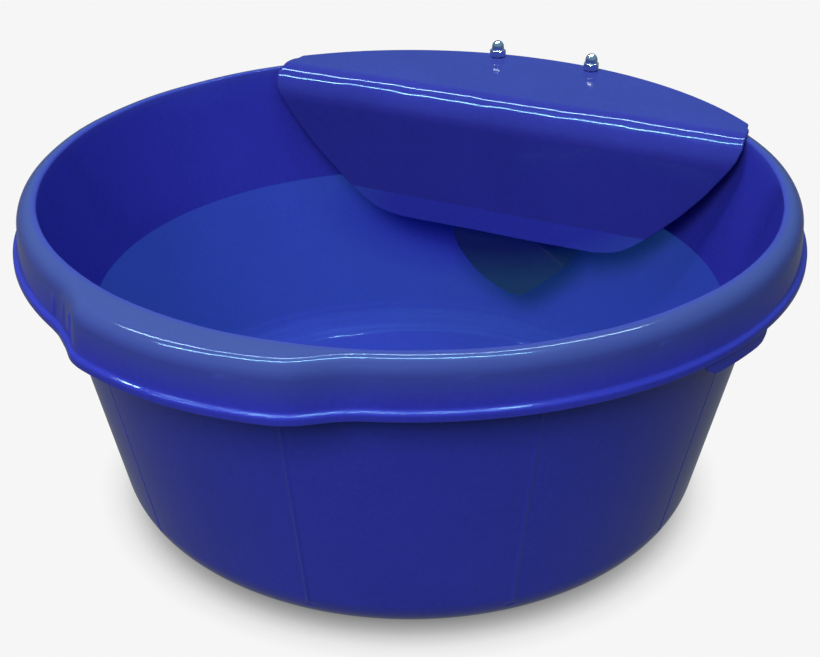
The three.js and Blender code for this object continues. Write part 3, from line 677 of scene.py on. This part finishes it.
for side, sgn in (("left", -1), ("right", 1)):
    a = sgn * BOLT_DEG * D2R
    cx, cy = BOLT_PCR * math.sin(a), BOLT_PCR * math.cos(a)
    z = GZ + SHEET + 0.3
    hz = T - 24.0
    head = hex_lathe("bolt_head_" + side, [(0, hz - 5.3), (5.3, hz - 5.3), (5.9, hz - 5.15), (7.4, hz - 4.3), (7.5, hz - 0.4),
                                           (6.2, hz), (0, hz)], 12.9, "z", (cx, cy, 0), turn=-a + math.pi / 6, rows=0.4)
    prof = densify(np.array([(0, hz - 1.2), (3.98, hz - 1.2), (3.98, hz + 34.2), (3.2, hz + 34.9), (0, hz + 34.9)], float), 0.14)
    shank = lathe("shank", prof, 40, "z", (cx, cy, 0), rfun=thread_fun(3.98, 0.62, 1.25, hz + 8, hz + 34.4), angle=30)
    bolt = boolean(head, shank, "UNION", angle=30)
    finish_piece(bolt, "zinc", "guard_bolt_" + side)
    ztop = z + 6.5
    dome = [(ztop + 2.4 + 5.9 * math.sin(t), 5.55 * math.cos(t)) for t in np.linspace(0, math.pi / 2, 22)]
    prof = ([(0, ztop + 4.4), (4.3, ztop + 4.0), (4.3, z + 0.6), (4.75, z + 0.05), (6.2, z + 0.0), (6.45, z + 0.1), (7.46, z + 0.75),
             (7.46, ztop - 1.0), (6.1, ztop - 0.12), (5.75, ztop + 0.02), (5.6, ztop + 0.3), (5.55, ztop + 1.2)]
            + [(r, zz) for zz, r in dome[:-1]] + [(0, dome[-1][0])])
    nut = hex_lathe("domed_nut_" + side, prof, 13.0, "z", (cx, cy, 0), turn=-a + (0.10 if sgn < 0 else -0.16), rows=0.45)
    finish_piece(nut, "steel", "dome_nut_" + side)


# ----------------------------------------------------------------- float valve
def union_all(obs, angle=30):
    a = obs[0]
    for b in obs[1:]:
        a = boolean(a, b, "UNION", angle=angle)
    return a


def arcpts(cx, cy, r, a0, a1, n):
    return [(cx + r * math.cos(math.radians(t)), cy + r * math.sin(math.radians(t))) for t in np.linspace(a0, a1, n)]


def plate_xz(name, outline, y0, y1, bevel=0.5, step=1.2):
    """flat piece with an outline in (x, z), thick from y0 to y1, with rounded edges"""
    P = densify(np.array(list(outline) + [outline[0]], float), step)[:-1]
    n = len(P)
    area2 = np.sum(P[:, 0] * np.roll(P[:, 1], -1) - np.roll(P[:, 0], -1) * P[:, 1])
    if area2 < 0: P = P[::-1]
    d = np.roll(P, -1, 0) - np.roll(P, 1, 0)
    nn = np.stack([d[:, 1], -d[:, 0]], -1)
    nn /= np.maximum(np.linalg.norm(nn, axis=1), 1e-9)[:, None]
    rings = []
    K = 4
    for k in range(K + 1):
        t = k / K * math.pi / 2
        rings.append((-bevel * (1 - math.sin(t)), y0 + bevel * (1 - math.cos(t))))
    for k in range(K, -1, -1):
        t = k / K * math.pi / 2
        rings.append((-bevel * (1 - math.sin(t)), y1 - bevel * (1 - math.cos(t))))
    V, F = [], []
    for off, y in rings:
        Q = P + nn * off
        V += [(q[0], y, q[1]) for q in Q]
    m = len(rings)
    F = grid_faces(m, n, close_v=True)
    F.append(tuple(range(n)))
    F.append(tuple(range((m - 1) * n, m * n)))
    return make_object(name, V, F, "root", angle=30)


# body: barrel, flange and threaded tail turned as one; guide and lug joined on
y0, yf = 237.0, 260.5
turned = [(9.4, y0 + 0.0), (12.3, y0), (12.8, y0 + 0.25), (13.0, y0 + 0.8), (13.0, 246.2), (12.55, 246.6), (12.55, 247.6), (13.0, 248.0),
          (13.0, yf - 5.6), (13.3, yf - 4.6), (14.3, yf - 3.7), (16.3, yf - 3.5), (16.85, yf - 3.3), (17.0, yf - 2.8), (17.0, yf - 0.5),
          (16.8, yf - 0.1), (16.5, yf), (10.9, yf), (10.4, yf + 0.35)]
tail = [(10.4, 303.0), (9.6, 304.0), (6.9, 304.0), (6.5, 303.6), (6.5, 248.0), (9.4, 247.9)]
prof = np.concatenate([densify(np.array(turned, float), 1.2), densify(np.array([(10.4, yf + 0.35), (10.4, 303.0)], float), 0.17)[1:],
                       densify(np.array(tail, float), 1.2)[1:]])
prof = prof[:-1] if np.allclose(prof[0], prof[-1]) else prof
body = lathe("valve_casting", prof, 96, "y", (VX, 0, VZ), closed=True,
             rfun=thread_fun(10.4, 1.05, 1.814, yf + 2.0, 303.4), angle=30)
gl = T - 97.0
guide = lathe("g", densify(np.array([(0, gl), (7.6, gl), (8.6, gl + 0.3), (9.0, gl + 0.9), (9.0, gl + 5.5), (8.6, gl + 6.0), (8.6, gl + 13.0),
                                     (9.0, gl + 13.5), (9.0, VZ - 3), (0, VZ - 3)], float), 1.5), 72, "z", (VX, VY, 0))
PX, PZ = PIVOT[0], PIVOT[2]
lug = plate_xz("l", arcpts(PX, PZ - 4, 5, 180, 360, 17) + [(PX + 5, PZ - 2), (PX + 4.2, PZ), (PX + 4.2, VZ - 6), (PX - 5, VZ - 6), (PX - 5, PZ + 11.5),
                                                            (PX - 13.4, PZ + 11), (PX - 14, PZ + 10.4), (PX - 14, PZ + 6.6),
                                                            (PX - 13.4, PZ + 6), (PX - 5, PZ + 6)], 240.0, 250.0, 0.6)
nose = plate_xz("n", [(PX - 13.6, PZ + 6.2), (PX - 3, PZ + 6.2), (PX - 3, PZ + 10.8), (PX - 13.6, PZ + 10.8)], 237.4, 242, 0.5)
core = lathe("k", [(0, 247.8), (9.35, 247.8), (9.35, 239.0), (0, 239.0)], 48, "y", (VX, 0, VZ))
body = union_all([body, guide, lug, nose])
for cut in (lathe("c", [(0, gl - 20), (6.4, gl - 20), (6.4, T - 81), (0, T - 81)], 56, "z", (VX, VY, 0)),
            lathe("c", [(0, 236), (2.3, 236), (2.3, 254), (0, 254)], 40, "y", (PX, 0, PZ)),
            lathe("c", [(0, T - 86), (5.3, T - 86), (5.3, VZ), (0, VZ)], 48, "z", (VX, VY, 0)),
            lathe("c", [(0, 236), (9.4, 236), (9.4, 248), (0, 248)], 64, "y", (VX, 0, VZ)),
            plate_xz("c", [(VX - 20, T - 94), (VX + 20, T - 94), (VX + 20, T - 83.5), (VX - 20, T - 83.5)], VY - 3, VY + 3, 0.7)):
    body = boolean(body, cut, angle=30)
bpy.data.objects.remove(core)
finish_piece(body, "nylon", "valve_body")

# cap: knurled edge and a coin slot
def knurl(n, depth, r0):
    def rf(R, H, TH):
        return np.where(R > r0, R - depth * (0.5 + 0.5 * np.cos(n * TH)) ** 2, R), H
    return rf


cap = lathe("service_cap", densify(np.array([(0, 234.2), (9.6, 234.2), (10.4, 234.4), (10.9, 234.7), (11.55, 235.3), (11.6, 236.5), (9.0, 236.7), (9.0, 238.6),
            (7.6, 238.6), (7.6, 240.8), (9.0, 240.8), (9.0, 241.6), (6, 241.6), (6, 238), (0, 238)], float), 0.5),
            240, "y", (VX, 0, VZ), rfun=knurl(30, 0.55, 10.2), angle=30)
cap = boolean(cap, plate_xz("c", [(VX - 8, VZ - 1.1), (VX + 8, VZ - 1.1), (VX + 8, VZ + 1.1), (VX - 8, VZ + 1.1)], 233, 235.4, 0.3), angle=30)
finish_piece(cap, "nylon", "valve_cap")
ring = lathe("o_ring", [(8.45 + 0.55 * math.cos(t), 239.7 + 0.55 * math.sin(t)) for t in np.linspace(0, 2 * math.pi, 21)[:-1]], 72, "y",
             (VX, 0, VZ), closed=True)
finish_piece(ring, "rubber", "cap_o_ring")
noz = lathe("nozzle", [(2.2, 183.2), (2.35, 183.0), (3.1, 183.0), (3.4, 183.15), (4.95, 185.0), (5.0, 185.3), (5.0, 191.6), (4.8, 191.8), (2.4, 191.8),
                       (2.2, 191.6)], 64, "z", (VX, VY, 0), closed=True)
finish_piece(noz, "brass", "valve_nozzle")
filt = lathe("strainer", densify(np.array([(0, 282.05), (3.9, 282.05), (4.4, 282.4), (4.6, 283), (5.2, 301), (6.0, 301), (6.1, 301.15), (6.1, 303.0), (5.9, 303.2),
                                           (4.3, 303.2), (4.2, 303.0), (3.8, 284), (3.6, 283.5), (0, 283.4)], float), 1.0), 64, "y", (VX, 0, VZ))
for k in range(6):
    a = k * math.pi / 6
    w = 0.55
    dx, dz = math.cos(a), math.sin(a)
    sl = [(VX + 7 * dx - w * dz, VZ + 7 * dz + w * dx), (VX - 7 * dx - w * dz, VZ - 7 * dz + w * dx),
          (VX - 7 * dx + w * dz, VZ - 7 * dz - w * dx), (VX + 7 * dx + w * dz, VZ + 7 * dz - w * dx)]
    filt = boolean(filt, plate_xz("c", sl, 285.5, 298.5, 0.1), angle=30)
finish_piece(filt, "white", "inlet_filter")


def wall_cone(rfun_, z0, z1, r_in=None):
    return lathe("cone", [(0, z0), (rfun_(z0), z0), (rfun_(z1), z1), (0, z1)], 256, "z")


inner = lathe("inner_washer", [(10.9, 260.9), (16.3, 260.8), (16.5, 261.0), (16.5, 286), (10.9, 286)], 96, "y", (VX, 0, VZ), closed=True)
inner = boolean(inner, wall_cone(lambda z: wall_in(z) - 0.75, 60, T - 2), "INTERSECT", angle=30)
finish_piece(inner, "rubber", "inner_seal_washer")
outer = lathe("outer_washer", [(10.9, 250), (16.5, 250), (16.5, 280.3), (16.3, 280.5), (10.9, 280.5)], 96, "y", (VX, 0, VZ), closed=True)
outer = boolean(outer, wall_cone(lambda z: wall_out(z) + 0.75, 60, T - 2), angle=30)
finish_piece(outer, "rubber", "outer_seal_washer")
wash = lathe("plain_washer", [(10.9, 280.95), (11.05, 280.8), (15.2, 280.8), (15.5, 281.0), (15.5, 282.3), (15.2, 282.5), (11.05, 282.5), (10.9, 282.35)],
             96, "y", (VX, 0, VZ), closed=True)
finish_piece(wash, "zinc", "backnut_washer")
nut = hex_lathe("hex_back_nut", [(10.75, 283.1), (11.4, 282.8), (13.0, 282.8), (15.55, 284.2), (15.55, 290.9), (13.2, 292.3), (11.4, 292.3), (10.75, 291.9), (10.75, 283.1)],
                26.9, "y", (VX, 0, VZ), seg=180, rows=0.4)
finish_piece(nut, "nylon", "back_nut")
pin = lathe("hinge_pin", [(0, 232.8), (1.6, 232.8), (2.0, 233.2), (2.0, 251.4), (3.0, 251.4), (3.2, 251.6), (3.15, 252.2), (2.6, 252.7), (1.5, 252.8), (0, 252.8)],
            48, "y", (PX, 0, PZ))
finish_piece(pin, "steel", "pivot_pin")

# piston: stands low at rest
LIFT = 2 * 11 * math.sin(SWING / 2 * D2R)
top = T - 85 - 0.35
nub = PZ + 11 * math.sin(SWING / 2 * D2R)
pis = lathe("plunger", densify(np.array([(0, nub - 4.6), (5.5, nub - 4.6), (6.0, nub - 4.1), (6.0, top - 1.8), (5.7, top - 1.3), (4.9, top - 1.3), (4.6, top - 1.6),
                                         (4.6, top - 3.4), (0, top - 3.4)], float), 0.8), 64, "z", (VX, VY, 0))
pis = boolean(pis, plate_xz("c", [(VX - 8, nub - 2.5), (VX + 8, nub - 2.5), (VX + 8, nub + 2.5), (VX - 8, nub + 2.5)], VY - 8, VY + 3.4, 0.3), angle=30)
for sgn in (-1, 1):
    cx = VX + sgn * 6
    pis = boolean(pis, plate_xz("c", [(cx - 1.4, nub - 10), (cx + 1.4, nub - 10), (cx + 1.4, top + 1), (cx - 1.4, top + 1)], VY - 1.6, VY + 1.6, 0.3), angle=30)
pis.data.transform(Matrix.Translation((0, 0, -LIFT * MM)))
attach(pis, "piston")
finish_piece(pis, "white", "piston")
seal = lathe("seal_disc", [(0, top - 3.1), (4.2, top - 3.1), (4.3, top - 3.0), (4.3, top - 0.4), (4.0, top - 0.05), (2.4, top), (0, top - 0.05)], 56, "z", (VX, VY, 0))
seal.data.transform(Matrix.Translation((0, 0, -LIFT * MM)))
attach(seal, "piston")
finish_piece(seal, "rubber", "piston_seal")

# lever and float are made level about the pivot, then turned down to where they hang
HANG = Matrix.Translation(Vector((PX, 0, PZ)) * MM) @ Matrix.Rotation(SWING * D2R, 4, "Y")


def hang(ob, mat, node):
    ob.data.transform(HANG)
    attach(ob, "float_arm")
    return finish_piece(ob, mat, node)


LL = 84.0
strip = plate_xz("arm_strip", arcpts(0, 0, 6, 90, 270, 25) + arcpts(LL - 6, 0, 6, -90, 90, 25), 233.0, 236.2, 0.7)
heel = plate_xz("h", [(-3, -4), (3, 4), (-4.6, 10.2), (-9.6, 5.2), (-9.0, 1.0)], 233.0, 236.2, 0.5)
a2 = SWING / 2 * D2R
knob = lathe("k", [(0, 234.5), (2.2, 234.5), (2.2, VY + 2.5), (1.7, VY + 3.0), (0, VY + 3.0)], 36, "y", (11 * math.cos(a2), 0, 11 * math.sin(a2)))
lev = union_all([strip, heel, knob])
# sunk panel along the strip, at its back
lev = boolean(lev, plate_xz("c", arcpts(15, 0, 3.0, 90, 270, 13) + arcpts(LL - 22, 0, 3.0, -90, 90, 13), 235.5, 240, 0.3), angle=30)
lev = boolean(lev, lathe("c", [(0, 230), (2.3, 230), (2.3, 240), (0, 240)], 36, "y", (0, 0, 0)), angle=30)
lev = boolean(lev, lathe("c", [(0, 230), (2.4, 230), (2.4, 240), (0, 240)], 36, "y", (LL - 12, 0, 0)), angle=30)
hang(lev, "nylon", "lever")

FW, FH, SPLIT = 2.4, 56.0, 48.0
DX, DZ = 103.9, -32.5


FLOAT_SIDE = [(2.6, 3), (5.2, 13.3), (8.4, 26), (13.6, 47.5), (15.6, FH), (-90, FH), (-93, FH - 3), (-92, 38), (-90, 20), (-88, 9.5), (-85.6, 3.4),
              (-80.8, -1.5), (-72.5, -5.2), (-62, -8.6), (-48.5, -11.3), (-34, -11.8), (-20.5, -9.8), (-7.5, -6.3), (-1, -2.2)]


def float_outline(inset):
    P = np.array(FLOAT_SIDE, float)
    a = P - np.roll(P, 1, 0)
    b = np.roll(P, -1, 0) - P
    a /= np.linalg.norm(a, axis=1)[:, None]
    b /= np.linalg.norm(b, axis=1)[:, None]
    na, nb = np.stack([-a[:, 1], a[:, 0]], -1), np.stack([-b[:, 1], b[:, 0]], -1)
    m = na + nb
    m /= np.linalg.norm(m, axis=1)[:, None]
    Q = P + m * (inset / np.maximum(0.5, (m * na).sum(1)))[:, None]
    return [(q[0] + DX, q[1] + DZ) for q in Q]


def smooth_closed(P, rad):
    Q = list(P)
    n = len(Q)
    out = []
    for k in range(n):
        a, b, c = Q[k - 1], Q[k], Q[(k + 1) % n]
        seg = rounded([(a[0], a[1], 0), (b[0], b[1], rad), (c[0], c[1], 0)])[1:-1]
        out += [tuple(p[:2]) for p in seg] if len(seg) else [b]
    return out


def float_block(name, inset, y0_, y1_, edge):
    return plate_xz(name, smooth_closed(float_outline(inset), 5.0), y0_, y1_, edge, 1.6)


def slab(w0, w1, grow=0.0):
    return plate_xz("c", [(-60, DZ + w0), (160, DZ + w0), (160, DZ + w1), (-60, DZ + w1)], 170, 250, 0.05, 60)


shell = boolean(float_block("float_tub", 0, 188.5, 232.3, 3.2), slab(-20, SPLIT), "INTERSECT", angle=35)
shell = boolean(shell, float_block("c", FW, 188.5 + FW, 232.3 - FW, 2.2), angle=35)
boss = lathe("b", [(0, 220.3), (5.4, 220.3), (6, 220.9), (6, 231.3), (0, 231.3)], 40, "y", (LL - 12, 0, 0))
shell = boolean(shell, boss, "UNION", angle=35)
shell = boolean(shell, lathe("c", [(0, 223.3), (2.3, 223.3), (2.3, 237), (0, 237)], 36, "y", (LL - 12, 0, 0)), angle=35)
hang(shell, "float", "float_shell")
lid = boolean(float_block("float_top", 0, 188.5, 232.3, 3.2), slab(SPLIT + 0.3, FH + 5), "INTERSECT", angle=35)
lid = boolean(lid, float_block("c", FW, 188.5 + FW, 232.3 - FW, 2.2), angle=35)
hang(lid, "float", "float_lid")
scr = lathe("clamp_screw", [(0, 224.3), (1.2, 224.3), (2.0, 226.0), (2.0, 236.5), (3.8, 236.5), (4.0, 236.7), (3.9, 237.6), (3.2, 238.3), (1.6, 238.7), (0, 238.7)],
            40, "y", (LL - 12, 0, 0))
scr = boolean(scr, plate_xz("c", [(LL - 12 - 3, -0.4), (LL - 12 + 3, -0.4), (LL - 12 + 3, 0.4), (LL - 12 - 3, 0.4)], 237.7, 240, 0.05), angle=30)
scr = boolean(scr, plate_xz("c", [(LL - 12 - 0.4, -3), (LL - 12 + 0.4, -3), (LL - 12 + 0.4, 3), (LL - 12 - 0.4, 3)], 237.7, 240, 0.05), angle=30)
hang(scr, "steel", "float_screw")

for _n, _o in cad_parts.items():
    if not _o.hide_render:
        raise RuntimeError("no piece stands for CAD node " + _n)


# ------------------------------------------------------ stage, light and camera
G = 25.5 * D2R                       # the camera stands this far round from -Y towards +X


def cam_frame(X, Y, Z):
    """metres right of, beyond and above the tub's middle, as seen by the camera, in the row frame"""
    return Vector((X * math.cos(G) - Y * math.sin(G), X * math.sin(G) + Y * math.cos(G), Z))


def build_floor():
    n, half = 60, 6.0
    g = np.linspace(-half, half, n)
    X, Y = np.meshgrid(g, g, indexing="ij")
    V = np.stack([X, Y, np.full_like(X, -0.0004)], -1).reshape(-1, 3)
    me = bpy.data.meshes.new("floor")
    me.from_pydata([tuple(v) for v in V], [], [tuple(f) for f in grid_faces(n, n)])
    ob = bpy.data.objects.new("floor", me)
    scene.collection.objects.link(ob)
    m = bpy.data.materials.new("floor_glow_painted_shadow")
    m.use_nodes = True
    nt = m.node_tree
    nt.nodes.clear()
    out = nt.nodes.new("ShaderNodeOutputMaterial")
    # painted shadow: the floor's even glow is darkened by ambient occlusion near the tub, standing in for its contact
    # shadow
    em = nt.nodes.new("ShaderNodeEmission")
    ao = nt.nodes.new("ShaderNodeAmbientOcclusion")
    ao.samples = 24
    ao.inputs["Distance"].default_value = 0.05
    c = ramp(nt, ao.outputs["AO"], [(0.0, (0.13, 0.13, 0.135)), (0.32, (0.42, 0.42, 0.425)), (0.58, (0.80, 0.80, 0.80)), (0.80, (0.922, 0.922, 0.922))])
    nt.links.new(c, em.inputs[0])
    nt.links.new(em.outputs[0], out.inputs[0])
    me.materials.append(m)
    ob.visible_glossy = False
    ob.visible_diffuse = False
    return ob


def build_water_glow():
    """painted light: a glowing, tinted, see-through sheet at the water's level stands for still water; stage dressing,
    not part of the tub
    """
    n = 192
    ring = [(252.0 * math.cos(k * 2 * math.pi / n), 252.0 * math.sin(k * 2 * math.pi / n), T - 101.0) for k in range(n)]
    me = bpy.data.meshes.new("water_film")
    me.from_pydata([tuple(v * MM for v in p) for p in ring], [], [tuple(range(n))])
    ob = bpy.data.objects.new("water_film", me)
    scene.collection.objects.link(ob)
    m = bpy.data.materials.new("water_film")
    m.use_nodes = True
    nt = m.node_tree
    nt.nodes.clear()
    out = nt.nodes.new("ShaderNodeOutputMaterial")
    add = nt.nodes.new("ShaderNodeAddShader")
    tr = nt.nodes.new("ShaderNodeBsdfTransparent")
    em = nt.nodes.new("ShaderNodeEmission")
    tr.inputs[0].default_value = (1, 1, 1, 1)
    tc = nt.nodes.new("ShaderNodeTexCoord")
    c = ramp(nt, noise(nt, tc.outputs["Object"], 3.0, 1.0, 0.4), [(0.3, (0.005, 0.024, 0.076)), (0.7, (0.006, 0.030, 0.090))])
    # the dark float lies just under the surface: the film's painted glow is turned down to a darker blue over it
    pts = [o.matrix_world @ v.co for o in bpy.data.objects if o.type == "MESH" and o.name.startswith("float_shell") for v in o.data.vertices]
    fx = sum(q.x for q in pts) / max(1, len(pts))
    fy = sum(q.y for q in pts) / max(1, len(pts))
    vd = nt.nodes.new("ShaderNodeVectorMath")
    vd.operation = "DISTANCE"
    vd.inputs[1].default_value = (fx, fy - 0.02, (T - 101.0) * MM)
    nt.links.new(tc.outputs["Object"], vd.inputs[0])
    near = maprange(nt, vd.outputs["Value"], 0.10, 0.165, 0.0, 1.0)
    glow_over_float = nt.nodes.new("ShaderNodeMix")
    glow_over_float.data_type = "RGBA"
    glow_over_float.inputs[6].default_value = (0.0005, 0.003, 0.055, 1)
    nt.links.new(near, glow_over_float.inputs[0])
    nt.links.new(c, glow_over_float.inputs[7])
    nt.links.new(glow_over_float.outputs[2], em.inputs[0])
    em.inputs[1].default_value = 1.0
    nt.links.new(tr.outputs[0], add.inputs[0])
    nt.links.new(em.outputs[0], add.inputs[1])
    nt.links.new(add.outputs[0], out.inputs[0])
    me.materials.append(m)
    ob.visible_shadow = False
    ob.visible_glossy = False
    ob.visible_diffuse = False
    return ob


def area(name, at, look, sx, sy, power, col=(1, 1, 1), spread=180):
    li = bpy.data.lights.new(name, "AREA")
    li.shape = "RECTANGLE"
    li.size, li.size_y = sx, sy
    li.energy = power
    li.color = col
    li.spread = spread * D2R
    ob = bpy.data.objects.new(name, li)
    scene.collection.objects.link(ob)
    ob.location = at
    d = (Vector(look) - Vector(at)).normalized()
    # local X stays level and runs across the camera's view
    zax = -d
    xax = cam_frame(1, 0, 0)
    xax = (xax - zax * xax.dot(zax)).normalized()
    yax = zax.cross(xax)
    ob.matrix_world = Matrix.Translation(at) @ Matrix((xax, yax, zax)).transposed().to_4x4()
    return ob


build_floor()
build_water_glow()
MID = (0, 0, 0.25)
area("strip_front", cam_frame(-0.6, -0.10, 3.2), MID, 3.4, 0.08, 72)
area("strip_back", cam_frame(-0.3, 1.25, 3.2), MID, 4.2, 0.07, 72)
area("soft_top", cam_frame(0.1, -0.2, 4.2), MID, 3.4, 2.4, 18, (0.50, 0.80, 1.0))
area("soft_front", cam_frame(-0.7, -2.9, 2.6), (0, 0, 0.15), 2.2, 1.3, 150).visible_glossy = False

world = bpy.data.worlds.new("studio")
scene.world = world
world.use_nodes = True
wnt = world.node_tree
wnt.nodes.clear()
wout = wnt.nodes.new("ShaderNodeOutputWorld")
wbg = wnt.nodes.new("ShaderNodeBackground")
wtc = wnt.nodes.new("ShaderNodeTexCoord")
wsep = wnt.nodes.new("ShaderNodeSeparateXYZ")
wnt.links.new(wtc.outputs["Generated"], wsep.inputs[0])
wz = maprange(wnt, wsep.outputs[2], -1.0, 1.0, 0.0, 1.0)
wr = ramp(wnt, wz, [(0.0, (0.20, 0.21, 0.23)), (0.47, (0.12, 0.14, 0.17)), (0.53, (0.10, 0.15, 0.22)), (0.66, (0.13, 0.27, 0.42)), (0.76, (0.15, 0.30, 0.46)), (0.90, (0.14, 0.28, 0.40)), (1.0, (0.14, 0.27, 0.38))])
wnt.links.new(wr, wbg.inputs[0])
wbg.inputs[1].default_value = 1.0
wnt.links.new(wbg.outputs[0], wout.inputs[0])

cam = bpy.data.cameras.new("camera")
cam.lens, cam.sensor_width, cam.sensor_fit = 67.28, 36.0, "HORIZONTAL"
cam.clip_end = 100
cam_ob = bpy.data.objects.new("camera", cam)
scene.collection.objects.link(cam_ob)
cam_ob.location = (0.4784, -1.0030, 0.7209)
cam_ob.rotation_euler = (62.02 * D2R, 0, 25.5 * D2R)
scene.camera = cam_ob
scene.view_settings.view_transform = "Standard"
scene.view_settings.look = "None"
scene.view_settings.exposure = 0
scene.view_settings.gamma = 1

bpy.context.view_layer.update()
